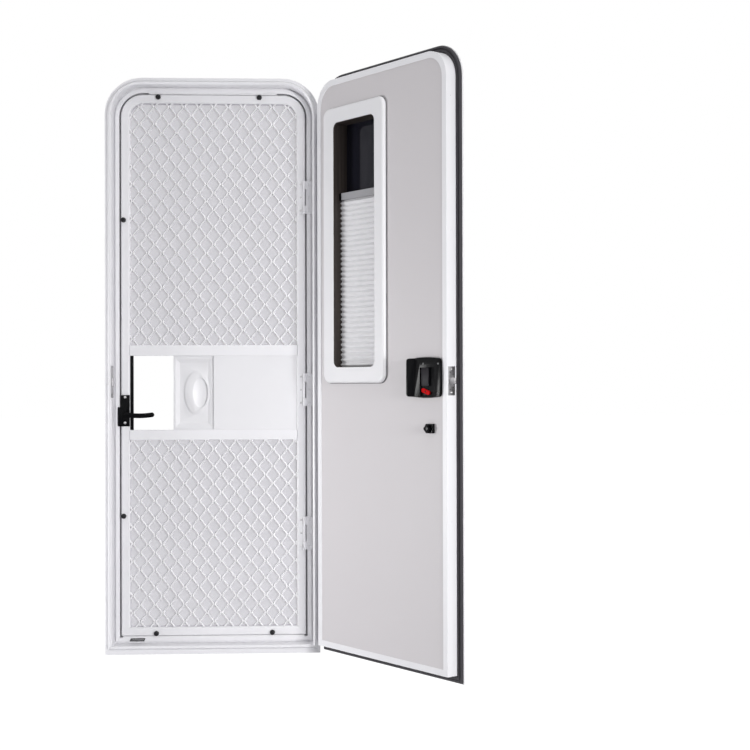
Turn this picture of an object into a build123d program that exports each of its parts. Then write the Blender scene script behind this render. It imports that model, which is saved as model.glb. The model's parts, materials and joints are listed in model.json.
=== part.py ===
from build123d import *
from math import ceil, floor, hypot
import os

os.makedirs("parts", exist_ok=True)

# Caravan entry door set: a wall frame, a security screen door and an insulated main door.
# Millimetres. +X is right seen from outside, +Y goes into the caravan, +Z is up.
# The origin is on the back of the frame's wall flange, at the middle of the sill's flange.

# Frame, outside sizes and the extruded section
FRAME_W = 666.0
FRAME_H = 1792.0
FACE_W = 40.0
SILL_EXTRA = 6.0
FLANGE_DROP = 10.0
BEND_R = 75.0
LIP_W = 8.0
LIP_T = 4.0
SLOPE_W = 7.0
FRONT_CHAMFER = 5.0
FRONT_RISE = 20.0
REBATE_STEP = 18.0
GROOVE_W = 6.0
GROOVE_D = 8.0
WALL = 2.5
STOP_LAP = 17.0
FIX_LEG = 20.0
FIX_HOLE_R = 2.5
FIX_HOLE_LOW = 150.0
FIX_HOLE_PITCH = 450.0
FIX_HOLE_BELOW_BEND = 117.0
DRAIN_FROM_GAP = 53.0
DRAIN_L = 45.0
DRAIN_H = 9.0
DRAIN_T = 2.0
DRAIN_SLANT = 4.0
DRAIN_DROP = 2.0

# Main door
PAN_GAP = 8.0
PAN_DEPTH = 33.0
PAN_CORNER_R = 78.0
SEAL_T = 7.0
SEAL_W = 20.0
SEAL_SQUEEZE_GAP = 0.5
SKIN_T = 5.0
SKIN_LAP = 21.5
EDGE_WALL = 2.5
EDGE_LIP = 18.0
EDGE_LIP_T = 1.5
INNER_SKIN_T = 1.5
OPEN_ANGLE = 125.5

# Main hinge, a knuckled hinge over the full height of the door
HINGE_OUT = 3.0
HINGE_FORWARD = 2.0
HINGE_R = 6.0
HINGE_PIN_R = 2.5
HINGE_RUN = 0.05
HINGE_LEAF_T = 2.5
HINGE_LEAF_W = 35.0
HINGE_KNUCKLES = 7
KNUCKLE_GAP = 0.5
HINGE_WEB_T = 3.0

# Screen door
SCREEN_CLEAR = 17.0
SCREEN_GAP = 5.0
STILE_W = 27.0
SCREEN_DEPTH = 30.0
STILE_CHAMFER = 4.0
OUTER_CHAMFER = 3.0
STOP_SEAL_T = 2.2
STOP_SEAL_W = 9.0
STOP_SEAL_GAP = 0.8
LOWER_RAIL_Z = 654.0
LOWER_RAIL_H = 31.0
HATCH_H = 233.0
UPPER_RAIL_H = 33.0
BUFFER_R = 8.0
BUFFER_H = 8.0
BUFFER_TOP_X = (-171.0, 145.0)
BUFFER_BOTTOM_X = (-179.0, 183.0)
BUFFER_ABOVE_SILL = 380.0
BUFFER_BELOW_HEAD = 399.0

# Diamond grille and insect mesh
CELL_W = 46.2
CELL_H = 54.0
STRAND = 2.4
GRILLE_T = 7.0
GRILLE_SET_BACK = 8.0
CROSSING_X = 0.9
CROSSING_BELOW_HEAD = 10.0
CROSSING_BELOW_RAIL = 30.0
MESH_T = 0.7
MESH_GAP = 0.3

# Screen hinges
LEAF_H = 103.0
LEAF_T = 3.0
LEAF_COVER = 3.0
LEAF_LOW_Z = 360.0
LEAF_MIDDLE_Z = 810.0
LEAF_BELOW_HEAD = 327.0
SCREEN_KNUCKLE_R = 3.5
SCREEN_PIN_R = 1.8
SCREEN_PIN_IN = 4.0
SCREEN_PIN_FORWARD = 8.5

# Hand hatch in the screen door
PANEL_T = 3.0
PANEL_SET_BACK = 7.0
SLIDER_SET_BACK = 13.5
SLIDER_T = 3.0
SLIDER_W = 266.0
SLIDER_EDGE_X = -126.0
TRACK_D = 6.0
TRACK_CLEAR = 0.5
SLIDER_SEAT = 0.3
SLIDER_HEAD_GAP = 1.0
CHANNEL_W = 10.0
CHANNEL_WALL = 2.0
CHANNEL_SLOT = 6.0
DISH_W = 118.0
DISH_EDGE = 7.0
DISH_D = 9.0
DISH_SLOPE = 12.0
DISH_RIM = 4.0
DISH_WALL = 2.5
PULL_W = 80.0
PULL_H = 132.0
PULL_RISE = 4.0
PULL_SHIFT = 10.5
CUP_W = 45.5
CUP_H = 93.0
CUP_D = 4.0
CUP_SHIFT = 20.0
CUP_TILT = 9.0
CUP_BACK = 3.5
CUP_MOUTH = 20.0

# Screen latch
LATCH_RISE = 12.0
LATCH_H = 98.0
LATCH_T = 4.0
LATCH_TAB_W = 10.0
LATCH_TAB_H = 60.0
LATCH_TAB_T = 3.0
LEVER_RISE = 36.0
LEVER_FROM_EDGE = 18.0
LEVER_T = 7.0
LEVER_HUB_R = 9.0
LEVER_REACH = 86.0
LEVER_TIP_R = 7.5
LEVER_SAG = 3.0
LEVER_STAND_OFF = 0.5
SPINDLE_R = 4.0
SPINDLE_RUN = 0.05
SPINDLE_IN_STILE = 6.0
SPINDLE_ROOM = 0.5

# Window in the main door, from the hinge edge of the pan
WINDOW_FROM_EDGE = 98.0
WINDOW_W = 202.0
WINDOW_FROM_TOP = 137.0
WINDOW_H = 737.0
WINDOW_R = 20.0
CUT_OUT_R = 2.0
TRIM_W = 47.0
TRIM_SHIFT = 6.0
TRIM_R = 28.0
TRIM_T = 12.0
TRIM_ROUND = 7.0
OUTER_FRAME_W = 28.0
OUTER_FRAME_T = 6.0
GLASS_T = 5.0
GLASS_EDGE = 8.0
BLIND_DROP = 505.0
BLIND_RAIL_H = 21.0
BLIND_RAIL_T = 14.0
BLIND_SET_BACK = 10.0
BLIND_CAP_W = 12.0
BLIND_SIDE_GAP = 2.0
PLEATS = 33
PLEAT_D = 7.0
PLEAT_BACK = 3.0

# Inner handle, measured from the free edge of the pan
HANDLE_FROM_EDGE = 18.0
HANDLE_W = 130.0
HANDLE_ABOVE_RAIL = 104.0
HANDLE_H = 113.0
HANDLE_CROWN = 4.0
HANDLE_CORNER_R = 10.0
HANDLE_PLATE_T = 8.0
GRIP_W = 8.0
GRIP_T = 25.0
GRIP_RAMP = 10.0
GRIP_ROUND = 4.0
POCKET_W = 63.0
POCKET_H = 80.0
POCKET_DROP = 12.0
POCKET_FLOOR = 2.0
POCKET_FROM_GRIP = 24.0
PADDLE_W = 28.0
PADDLE_H = 50.0
PADDLE_T = 4.0
PADDLE_PIN_R = 1.5
PADDLE_BARREL_R = 3.0
PADDLE_RUN = 0.05
PADDLE_LIFT = 0.5
PADDLE_SIDE_GAP = 5.0
PADDLE_TOP_GAP = 1.0
LOCK_TAB_R = 6.0
LOCK_TAB_L = 36.0
LOCK_TAB_T = 4.0
LOCK_PIN_R = 2.5
LOCK_RUN = 0.05
LOCK_LIFT = 0.3
LOCK_TILT = 17.0
LOCK_RISE = 13.0
LOCK_FROM_GRIP = 22.0

# Deadbolt, latch and outer handle
DEADBOLT_FROM_EDGE = 68.0
DEADBOLT_ABOVE_RAIL = 19.0
DEADBOLT_BASE = 30.0
DEADBOLT_BASE_H = 26.0
DEADBOLT_BASE_T = 8.0
DEADBOLT_CORNER_R = 2.5
TURN_SIZE = 16.0
TURN_ANGLE = 45.0
TURN_T = 9.0
TURN_STEM = 2.0
TURN_STEM_R = 5.0
TURN_RUN = 0.05
TURN_STEM_IN = 5.0
TURN_STEM_ROOM = 0.5
FACEPLATE_RISE = 7.0
FACEPLATE_H = 80.0
FACEPLATE_W = 25.0
FACEPLATE_T = 2.0
FACEPLATE_INSET = 5.0
BOLT_H = 18.0
BOLT_W = 14.0
BOLT_OUT = 12.0
BOLT_IN = 20.0
BOLT_NOSE = 9.5
BOLT_RUN = 0.3
STRIKE_T = 2.0
STRIKE_H = 100.0
STRIKE_W = 30.0
STRIKE_CLEAR = 4.0
OUTER_PLATE_T = 6.0
OUTER_PADDLE_W = 70.0
OUTER_PADDLE_H = 42.0
OUTER_PADDLE_T = 16.0
OUTER_PADDLE_FINGER = 9.0
KEY_R = 11.0
KEY_RISE = 16.5
KEY_PROUD = 5.0

# Places worked out from the sizes above
GAP_X = FRAME_W / 2 - FACE_W
GAP_LOW = FACE_W + SILL_EXTRA - FLANGE_DROP
GAP_TOP = FRAME_H - FLANGE_DROP - FACE_W
BEND_X = GAP_X - BEND_R
BEND_Z = GAP_TOP - BEND_R
FRONT_Y = -FRONT_RISE
PAN_INNER_Y = FRONT_Y + PAN_DEPTH
LAND_Y = PAN_INNER_Y + SCREEN_CLEAR
SCREEN_BACK_Y = LAND_Y + SCREEN_DEPTH
STOP_Y = SCREEN_BACK_Y + STOP_SEAL_GAP + STOP_SEAL_T
FIX_END_Y = STOP_Y + WALL + FIX_LEG
REBATE_X = GAP_X + REBATE_STEP
FIX_HOLE_TOP = BEND_Z - FIX_HOLE_BELOW_BEND
FIX_HOLE_Z = (FIX_HOLE_LOW, FIX_HOLE_LOW + FIX_HOLE_PITCH, FIX_HOLE_TOP - FIX_HOLE_PITCH, FIX_HOLE_TOP)
DRAIN_X = -GAP_X + DRAIN_FROM_GAP
PAN_X = REBATE_X - PAN_GAP
PAN_LOW = GAP_LOW - REBATE_STEP + PAN_GAP
PAN_TOP = GAP_TOP + REBATE_STEP - PAN_GAP
FLANGE_Y = FRONT_Y - SEAL_T
SKIN_Y = FLANGE_Y - SKIN_T
STILE_IN_X = GAP_X - SCREEN_GAP - STILE_W
SCREEN_X = GAP_X - SCREEN_GAP
SCREEN_LOW = GAP_LOW + SCREEN_GAP
SCREEN_TOP = GAP_TOP - SCREEN_GAP
RAIL_IN_LOW = SCREEN_LOW + STILE_W
RAIL_IN_TOP = SCREEN_TOP - STILE_W
HATCH_LOW = LOWER_RAIL_Z + LOWER_RAIL_H
HATCH_TOP = HATCH_LOW + HATCH_H
UPPER_RAIL_TOP = HATCH_TOP + UPPER_RAIL_H
UPPER_CROSSING_Z = RAIL_IN_TOP - CROSSING_BELOW_HEAD
LOWER_CROSSING_Z = LOWER_RAIL_Z - CROSSING_BELOW_RAIL
LEAF_Z = (GAP_TOP - LEAF_BELOW_HEAD, LEAF_MIDDLE_Z, LEAF_LOW_Z)
BUFFER_SIDE_Z = (GAP_LOW + BUFFER_ABOVE_SILL, GAP_TOP - BUFFER_BELOW_HEAD)
DISH_H = HATCH_H - 2 * DISH_EDGE
LATCH_LOW_Z = HATCH_LOW + LATCH_RISE
LEVER_X = -SCREEN_X + LEVER_FROM_EDGE
LEVER_Z = LATCH_LOW_Z + LEVER_RISE
HINGE_X = FRAME_W / 2 + HINGE_OUT
HINGE_Y = FRONT_Y - HINGE_FORWARD
SCREEN_PIN_X = SCREEN_X - SCREEN_PIN_IN
SCREEN_PIN_Y = LAND_Y - SCREEN_PIN_FORWARD
WINDOW_X = PAN_X - WINDOW_FROM_EDGE - WINDOW_W / 2
WINDOW_TOP_Z = PAN_TOP - WINDOW_FROM_TOP
WINDOW_LOW_Z = WINDOW_TOP_Z - WINDOW_H
WINDOW_Z = WINDOW_LOW_Z + WINDOW_H / 2
BLIND_RAIL_Z = WINDOW_LOW_Z + BLIND_DROP
HANDLE_X = -PAN_X + HANDLE_FROM_EDGE
HANDLE_LOW_Z = HATCH_LOW + HANDLE_ABOVE_RAIL
HANDLE_Z = HANDLE_LOW_Z + HANDLE_H / 2
DEADBOLT_X = -PAN_X + DEADBOLT_FROM_EDGE
DEADBOLT_Z = HATCH_LOW + DEADBOLT_ABOVE_RAIL
FACEPLATE_LOW_Z = HANDLE_LOW_Z + FACEPLATE_RISE
BOLT_Z = FACEPLATE_LOW_Z + FACEPLATE_H / 2
BOLT_Y = PAN_INNER_Y - FACEPLATE_INSET - FACEPLATE_W / 2

INWARD = (0, 1, 0)
OPEN = Pos(HINGE_X, HINGE_Y) * Rot(0, 0, OPEN_ANGLE) * Pos(-HINGE_X, -HINGE_Y)
RIGHT_MITRE = Plane(origin=(GAP_X, 0, GAP_LOW), z_dir=(1, 0, 1))
LEFT_MITRE = Plane(origin=(-GAP_X, 0, GAP_LOW), z_dir=(-1, 0, 1))


def save(name, *solids):
    """Write one node."""
    shapes = [solid for item in solids for solid in item.solids()]
    node = shapes[0] if len(shapes) == 1 else Compound(children=shapes)
    node.label = name
    export_step(node, f"parts/{name}.step")


def save_on_door(name, *solids):
    """Write one node of the main door, swung to the angle at which it stands."""
    save(name, *[item.moved(OPEN) for item in solids])


def outline(*points):
    """Face through points of a section."""
    return make_face(Polyline(*points, close=True))


def upright(section, line_x, low, high):
    """Section stood on a line at X, its first coordinate to the right."""
    return extrude(Plane(origin=(line_x, 0, low), x_dir=(1, 0, 0), z_dir=(0, 0, 1)) * section, high - low)


def across(section, line_z, left, right, first=-1):
    """Section run along X on a line at Z, its first coordinate down, or up where first is 1."""
    start = left if first < 0 else right
    plane = Plane(origin=(start, 0, line_z), x_dir=(0, 0, first), z_dir=(-first, 0, 0))
    return extrude(plane * section, right - left)


def bent_head(section):
    """Section run across the top of the frame line, with its two bent corners."""
    side = Plane(origin=(GAP_X, 0, BEND_Z), x_dir=(1, 0, 0), z_dir=(0, 0, 1)) * section
    corner = revolve(side, axis=Axis((BEND_X, 0, BEND_Z), (0, -1, 0)), revolution_arc=90)
    return across(section, GAP_TOP, -BEND_X, BEND_X, 1) + corner + mirror(corner, Plane.YZ)


def flipped(part):
    """Mirror image on the left side."""
    return mirror(part, Plane.YZ)


def facing(y, x, z):
    """Work plane that looks into the caravan: local X to the right, local Y up."""
    return Plane(origin=(x, y, z), x_dir=(1, 0, 0), z_dir=(0, -1, 0))


def slab(x_low, x_high, y_low, y_high, z_low, z_high):
    """Box between two corners."""
    return Pos(x_low, y_low, z_low) * Box(
        x_high - x_low, y_high - y_low, z_high - z_low, align=(Align.MIN, Align.MIN, Align.MIN))


def arch(grow, y_low, y_high):
    """Door-shaped slab with rounded top corners, as much larger than the pan as grow says."""
    width = 2 * (PAN_X + grow)
    height = PAN_TOP - PAN_LOW + 2 * grow
    face = facing(y_low, 0, (PAN_LOW + PAN_TOP) / 2) * Rectangle(width, height)
    face = fillet(face.vertices().group_by(Axis.Z)[-1], PAN_CORNER_R + grow)
    return extrude(face, y_high - y_low, dir=INWARD)


def pane(grow, y_low, y_high, radius):
    """Slab the shape of the window, as much larger as grow says."""
    face = facing(y_low, WINDOW_X, WINDOW_Z) * RectangleRounded(
        WINDOW_W + 2 * grow, WINDOW_H + 2 * grow, radius)
    return extrude(face, y_high - y_low, dir=INWARD)


def rod(x, z, radius, y_low, y_high):
    """Round bar along Y."""
    return extrude(facing(y_low, x, z) * Circle(radius), y_high - y_low, dir=INWARD)


def post(x, y, radius, low, high):
    """Round bar along Z."""
    return extrude(Pos(x, y, low) * Circle(radius), high - low)


# Frame


def frame_section(extra):
    """Section of the frame, outwards from the screen gap, with a lip wider by extra."""
    lip_end = FACE_W + extra
    slope_foot = FACE_W - LIP_W
    slope_top = slope_foot - SLOPE_W
    land_end = REBATE_STEP - GROOVE_W
    return outline(
        (lip_end, 0), (lip_end, -LIP_T), (slope_foot, -LIP_T), (slope_top, FRONT_Y),
        (REBATE_STEP + FRONT_CHAMFER, FRONT_Y), (REBATE_STEP, FRONT_Y + FRONT_CHAMFER),
        (REBATE_STEP, LAND_Y + GROOVE_D), (land_end, LAND_Y + GROOVE_D), (land_end, LAND_Y), (0, LAND_Y),
        (0, STOP_Y), (-STOP_LAP, STOP_Y), (-STOP_LAP, STOP_Y + WALL), (REBATE_STEP, STOP_Y + WALL),
        (REBATE_STEP, FIX_END_Y), (REBATE_STEP + WALL, FIX_END_Y), (REBATE_STEP + WALL, 0))


def frame_jamb():
    """Right jamb, mitred at the sill, with its fixing holes."""
    jamb = upright(frame_section(0), GAP_X, -FACE_W, BEND_Z)
    jamb = split(jamb, bisect_by=RIGHT_MITRE, keep=Keep.TOP)
    hole_y = FIX_END_Y - FIX_LEG / 2
    for z in FIX_HOLE_Z:
        jamb -= Pos(REBATE_X + WALL / 2, hole_y, z) * Rot(0, 90, 0) * Cylinder(FIX_HOLE_R, FIX_LEG)
    return jamb


def strike_window():
    """Cut in the left rebate wall that the latch bolt enters."""
    half_w = BOLT_W / 2 + STRIKE_CLEAR
    half_h = BOLT_H / 2 + STRIKE_CLEAR
    reach = REBATE_X + BOLT_OUT
    return slab(-reach, -PAN_X, BOLT_Y - half_w, BOLT_Y + half_w, BOLT_Z - half_h, BOLT_Z + half_h)


right_jamb = frame_jamb()
left_jamb = flipped(right_jamb) - strike_window()
save("frame_right_jamb", right_jamb)
save("frame_left_jamb", left_jamb)
save("frame_head", bent_head(frame_section(0)))

sill = across(frame_section(SILL_EXTRA), GAP_LOW, -FRAME_W, FRAME_W)
sill = split(sill, bisect_by=RIGHT_MITRE, keep=Keep.BOTTOM)
sill = split(sill, bisect_by=LEFT_MITRE, keep=Keep.BOTTOM)
sill = sill & slab(-FRAME_W / 2, FRAME_W / 2, FRONT_Y, FIX_END_Y, -FLANGE_DROP, GAP_LOW + STOP_LAP)
save("frame_sill", sill)
half_l, half_h = DRAIN_L / 2, DRAIN_H / 2
drain_face = outline((-half_l, -half_h), (half_l, -half_h),
                     (half_l + DRAIN_SLANT, half_h), (DRAIN_SLANT - half_l, half_h))
drain_place = facing(LAND_Y - DRAIN_T, DRAIN_X, GAP_LOW - DRAIN_DROP - half_h)
save("sill_drain", extrude(drain_place * drain_face, DRAIN_T, dir=INWARD))

seal_front = STOP_Y - STOP_SEAL_T
seal_section = outline((-STOP_LAP, seal_front), (STOP_SEAL_W - STOP_LAP, seal_front),
                       (STOP_SEAL_W - STOP_LAP, STOP_Y), (-STOP_LAP, STOP_Y))
side_seal = upright(seal_section, GAP_X, GAP_LOW + STOP_LAP, BEND_Z)
save("screen_stop_seal", bent_head(seal_section) + side_seal + flipped(side_seal))

strike_x = REBATE_X - STRIKE_T
strike = slab(-REBATE_X, -strike_x, BOLT_Y - STRIKE_W / 2, BOLT_Y + STRIKE_W / 2,
              BOLT_Z - STRIKE_H / 2, BOLT_Z + STRIKE_H / 2)
save("latch_strike", strike - strike_window())


# Hinges


def screen_leaf(x_from, x_to, z):
    """Flat hinge leaf on the front of the land or the stile."""
    return slab(x_from, x_to, LAND_Y - LEAF_T, LAND_Y, z - LEAF_H / 2, z + LEAF_H / 2)


def screen_knuckle(z_low, z_high, leaf_x):
    """Knuckle on the screen's pin, with the strap that joins it to the near edge of its leaf."""
    strap = outline((SCREEN_PIN_X, SCREEN_PIN_Y), (leaf_x, LAND_Y - LEAF_T), (leaf_x, LAND_Y),
                    (SCREEN_PIN_X, SCREEN_PIN_Y + SCREEN_KNUCKLE_R))
    barrel = post(SCREEN_PIN_X, SCREEN_PIN_Y, SCREEN_KNUCKLE_R, z_low, z_high)
    return barrel + extrude(Pos(0, 0, z_low) * strap, z_high - z_low)


door_leaf_x = SCREEN_PIN_X - SCREEN_KNUCKLE_R - KNUCKLE_GAP
frame_leaves = []
door_leaves = []
for leaf_z in LEAF_Z:
    low, high = leaf_z - LEAF_H / 2, leaf_z + LEAF_H / 2
    quarter = LEAF_H / 4
    fixed = screen_leaf(GAP_X - LEAF_COVER, REBATE_X, leaf_z)
    fixed += screen_knuckle(low, low + quarter, GAP_X)
    fixed += screen_knuckle(high - quarter, high, GAP_X)
    fixed += post(SCREEN_PIN_X, SCREEN_PIN_Y, SCREEN_PIN_R, low, high)
    frame_leaves.append(fixed)
    moving = screen_leaf(STILE_IN_X + STILE_CHAMFER, door_leaf_x, leaf_z)
    moving += screen_knuckle(low + quarter + KNUCKLE_GAP, high - quarter - KNUCKLE_GAP, door_leaf_x)
    moving -= post(SCREEN_PIN_X, SCREEN_PIN_Y, SCREEN_PIN_R + HINGE_RUN, low, high)
    door_leaves.append(moving)
save("screen_hinge_frame_leaves", *frame_leaves)
save("screen_hinge_door_leaves", *door_leaves)

hinge_low = PAN_LOW
hinge_high = PAN_TOP - PAN_CORNER_R
knuckle_l = (hinge_high - hinge_low) / HINGE_KNUCKLES
lip_x = FRAME_W / 2 - LIP_W
web_x = FRAME_W / 2 - HINGE_WEB_T / 2
web_top = HINGE_Y + HINGE_R + KNUCKLE_GAP
strap_x = PAN_X + SKIN_LAP + KNUCKLE_GAP
leaf_front = SKIN_Y - HINGE_LEAF_T
leaf_end_x = HINGE_X - HINGE_R + HINGE_LEAF_T / 2


def frame_hinge_leaf():
    """Leaf on the frame's lip, its knuckles and the pin."""
    leaf = slab(lip_x, FRAME_W / 2, -LIP_T - HINGE_LEAF_T, -LIP_T, hinge_low, hinge_high)
    leaf += slab(web_x - HINGE_WEB_T / 2, web_x + HINGE_WEB_T / 2, web_top, -LIP_T, hinge_low, hinge_high)
    for index in range(0, HINGE_KNUCKLES, 2):
        low = hinge_low + index * knuckle_l
        high = low + knuckle_l - KNUCKLE_GAP
        leaf += slab(web_x - HINGE_WEB_T / 2, web_x + HINGE_WEB_T / 2, HINGE_Y, web_top, low, high)
        leaf += post(HINGE_X, HINGE_Y, HINGE_R, low, high)
    return leaf + post(HINGE_X, HINGE_Y, HINGE_PIN_R, hinge_low, hinge_high - KNUCKLE_GAP)


def door_hinge_leaf():
    """Leaf on the outer skin with the knuckles between those of the frame."""
    leaf_start = leaf_end_x - HINGE_LEAF_W
    leaf = slab(leaf_start, leaf_end_x, leaf_front, SKIN_Y, hinge_low, hinge_high)
    strap = outline((strap_x, SKIN_Y), (leaf_end_x, leaf_front),
                    (HINGE_X, HINGE_Y - HINGE_R), (HINGE_X - HINGE_R, HINGE_Y))
    for index in range(1, HINGE_KNUCKLES, 2):
        low = hinge_low + index * knuckle_l
        length = knuckle_l - KNUCKLE_GAP
        leaf += extrude(Pos(0, 0, low) * strap, length)
        leaf += post(HINGE_X, HINGE_Y, HINGE_R, low, low + length)
    return leaf - post(HINGE_X, HINGE_Y, HINGE_PIN_R + HINGE_RUN, hinge_low, hinge_high)


save("main_hinge_frame_leaf", frame_hinge_leaf())
save_on_door("main_hinge_door_leaf", door_hinge_leaf())


# Screen door


def stile_section():
    """Section of the screen's stiles and rails, outwards from the gap line."""
    outer = -SCREEN_GAP
    inner = outer - STILE_W
    return outline((outer - OUTER_CHAMFER, LAND_Y), (outer, LAND_Y + OUTER_CHAMFER), (outer, SCREEN_BACK_Y),
                   (inner, SCREEN_BACK_Y), (inner, LAND_Y + STILE_CHAMFER), (inner + STILE_CHAMFER, LAND_Y))


def mid_rail(low, high, track_low):
    """Rail between the stiles with the hatch's track in its edge."""
    rail = slab(-STILE_IN_X, STILE_IN_X, LAND_Y, SCREEN_BACK_Y, low, high)
    track_y = LAND_Y + SLIDER_SET_BACK
    return rail - slab(-STILE_IN_X, STILE_IN_X, track_y - TRACK_CLEAR, track_y + SLIDER_T + TRACK_CLEAR,
                       track_low, track_low + TRACK_D)


stile = upright(stile_section(), GAP_X, 0, BEND_Z)
stile = split(stile, bisect_by=RIGHT_MITRE, keep=Keep.TOP)
spindle_hole = rod(LEVER_X, LEVER_Z, SPINDLE_R + SPINDLE_ROOM, LAND_Y, LAND_Y + SPINDLE_IN_STILE + SPINDLE_ROOM)
save("screen_right_stile", stile)
save("screen_left_stile", flipped(stile) - spindle_hole)
save("screen_head_rail", bent_head(stile_section()))
bottom_rail = across(stile_section(), GAP_LOW, -FRAME_W / 2, FRAME_W / 2)
bottom_rail = split(bottom_rail, bisect_by=RIGHT_MITRE, keep=Keep.BOTTOM)
save("screen_bottom_rail", split(bottom_rail, bisect_by=LEFT_MITRE, keep=Keep.BOTTOM))
save("screen_lower_mid_rail", mid_rail(LOWER_RAIL_Z, HATCH_LOW, HATCH_LOW - TRACK_D))
save("screen_upper_mid_rail", mid_rail(HATCH_TOP, UPPER_RAIL_TOP, HATCH_TOP))


def grille_opening(low, high, corner_r):
    """Face of a screen opening, with round top corners where corner_r is above zero."""
    face = Pos(0, (low + high) / 2) * Rectangle(2 * STILE_IN_X, high - low)
    return fillet(face.vertices().group_by(Axis.Y)[-1], corner_r) if corner_r else face


def diamond_grille(opening, low, high, crossing_z):
    """Opening filled with diamond cells, less the cells themselves."""
    half_w, half_h = CELL_W / 2, CELL_H / 2
    shrink = 1 - STRAND / 2 * hypot(half_w, half_h) / (half_w * half_h)
    cell = outline((half_w * shrink, 0), (0, half_h * shrink), (-half_w * shrink, 0), (0, -half_h * shrink))
    columns = ceil(STILE_IN_X / CELL_W) + 1
    first_row = floor((low - crossing_z) / CELL_H) - 1
    last_row = ceil((high - crossing_z) / CELL_H) + 1
    cells = []
    for column in range(-columns, columns + 1):
        for row in range(first_row, last_row + 1):
            for shift in (0, 0.5):
                x = CROSSING_X + (column + shift) * CELL_W
                z = crossing_z + (row + shift + 0.5) * CELL_H
                if abs(x) < STILE_IN_X + half_w and low - half_h < z < high + half_h:
                    cells.append(Pos(x, z) * cell)
    lattice = opening - cells
    return max(lattice.faces(), key=lambda face: face.area)


def in_screen(face, set_back, thickness):
    """Flat face stood in the screen door, set back from its front."""
    return extrude(facing(LAND_Y + set_back, 0, 0) * face, thickness, dir=INWARD)


mesh_set_back = GRILLE_SET_BACK + GRILLE_T + MESH_GAP
openings = (
    ("upper", grille_opening(UPPER_RAIL_TOP, RAIL_IN_TOP, BEND_R - SCREEN_GAP - STILE_W),
     UPPER_RAIL_TOP, RAIL_IN_TOP, UPPER_CROSSING_Z),
    ("lower", grille_opening(RAIL_IN_LOW, LOWER_RAIL_Z, 0), RAIL_IN_LOW, LOWER_RAIL_Z, LOWER_CROSSING_Z))
for place, opening, low, high, crossing_z in openings:
    save(f"{place}_grille", in_screen(diamond_grille(opening, low, high, crossing_z), GRILLE_SET_BACK, GRILLE_T))
    save(f"{place}_insect_mesh", in_screen(opening, mesh_set_back, MESH_T))

edge = SCREEN_X - BUFFER_R
buffer_places = [(x, SCREEN_TOP - BUFFER_R) for x in BUFFER_TOP_X]
buffer_places += [(-edge, z) for z in BUFFER_SIDE_Z]
buffer_places += [(x, SCREEN_LOW + BUFFER_R) for x in BUFFER_BOTTOM_X]
save("rubber_buffers", *[rod(x, z, BUFFER_R, LAND_Y - BUFFER_H, LAND_Y) for x, z in buffer_places])


# Hand hatch

panel_y = LAND_Y + PANEL_SET_BACK
slider_y = LAND_Y + SLIDER_SET_BACK
save("hatch_fixed_panel", slab(0, STILE_IN_X, panel_y, panel_y + PANEL_T, HATCH_LOW, HATCH_TOP))

channel_front = slider_y - TRACK_CLEAR - CHANNEL_WALL
channel_back = slider_y + SLIDER_T + TRACK_CLEAR + CHANNEL_WALL
channel = slab(-STILE_IN_X, CHANNEL_W - STILE_IN_X, channel_front, channel_back, HATCH_LOW, HATCH_TOP)
channel -= slab(CHANNEL_W - CHANNEL_SLOT - STILE_IN_X, CHANNEL_W - STILE_IN_X,
                slider_y - TRACK_CLEAR, slider_y + SLIDER_T + TRACK_CLEAR, HATCH_LOW, HATCH_TOP)
save("hatch_edge_channel", channel)


def hatch_slider():
    """Sliding panel with a dished finger pull, whose cup is deepest on its right."""
    plate = slab(SLIDER_EDGE_X, SLIDER_EDGE_X + SLIDER_W, slider_y, slider_y + SLIDER_T,
                 HATCH_LOW - TRACK_D + SLIDER_SEAT, HATCH_TOP + TRACK_D - SLIDER_HEAD_GAP)
    dish_x = SLIDER_EDGE_X + DISH_RIM + DISH_W / 2
    dish_z = (HATCH_LOW + HATCH_TOP) / 2

    def funnel(grow, depth):
        mouth = facing(slider_y, dish_x, dish_z) * Rectangle(DISH_W + 2 * grow, DISH_H + 2 * grow)
        floor_face = facing(slider_y + depth, dish_x, dish_z) * Rectangle(
            DISH_W + 2 * grow - 2 * DISH_SLOPE, DISH_H + 2 * grow - 2 * DISH_SLOPE)
        return loft([mouth.face(), floor_face.face()])

    plate += funnel(0, DISH_D + DISH_WALL)
    plate -= funnel(-DISH_WALL, DISH_D)
    floor_y = slider_y + DISH_D
    boss_y = floor_y - PULL_RISE
    boss = extrude(facing(boss_y, dish_x + PULL_SHIFT, dish_z) * Ellipse(PULL_W / 2, PULL_H / 2),
                   PULL_RISE, dir=INWARD)
    cup_x = dish_x + CUP_SHIFT
    backing = extrude(facing(floor_y, cup_x, dish_z) * Ellipse(CUP_W / 2 + DISH_WALL, CUP_H / 2 + DISH_WALL),
                      DISH_WALL + CUP_BACK, dir=INWARD)
    cup = extrude(facing(-CUP_MOUTH, 0, 0) * Ellipse(CUP_W / 2, CUP_H / 2), CUP_MOUTH, dir=INWARD)
    cup = Pos(cup_x, boss_y + CUP_D, dish_z) * Rot(0, 0, CUP_TILT) * cup
    return plate + boss + backing - cup


save("hatch_slider", hatch_slider())


# Screen latch

case_front = LAND_Y - LATCH_T
case = slab(-SCREEN_X, -STILE_IN_X, case_front, LAND_Y, LATCH_LOW_Z, LATCH_LOW_Z + LATCH_H)
case += slab(-SCREEN_X - LATCH_TAB_W, -SCREEN_X, case_front, case_front + LATCH_TAB_T,
             LATCH_LOW_Z, LATCH_LOW_Z + LATCH_TAB_H)
case -= rod(LEVER_X, LEVER_Z, SPINDLE_R + SPINDLE_RUN, case_front, LAND_Y)
save("screen_latch_case", case)


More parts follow.
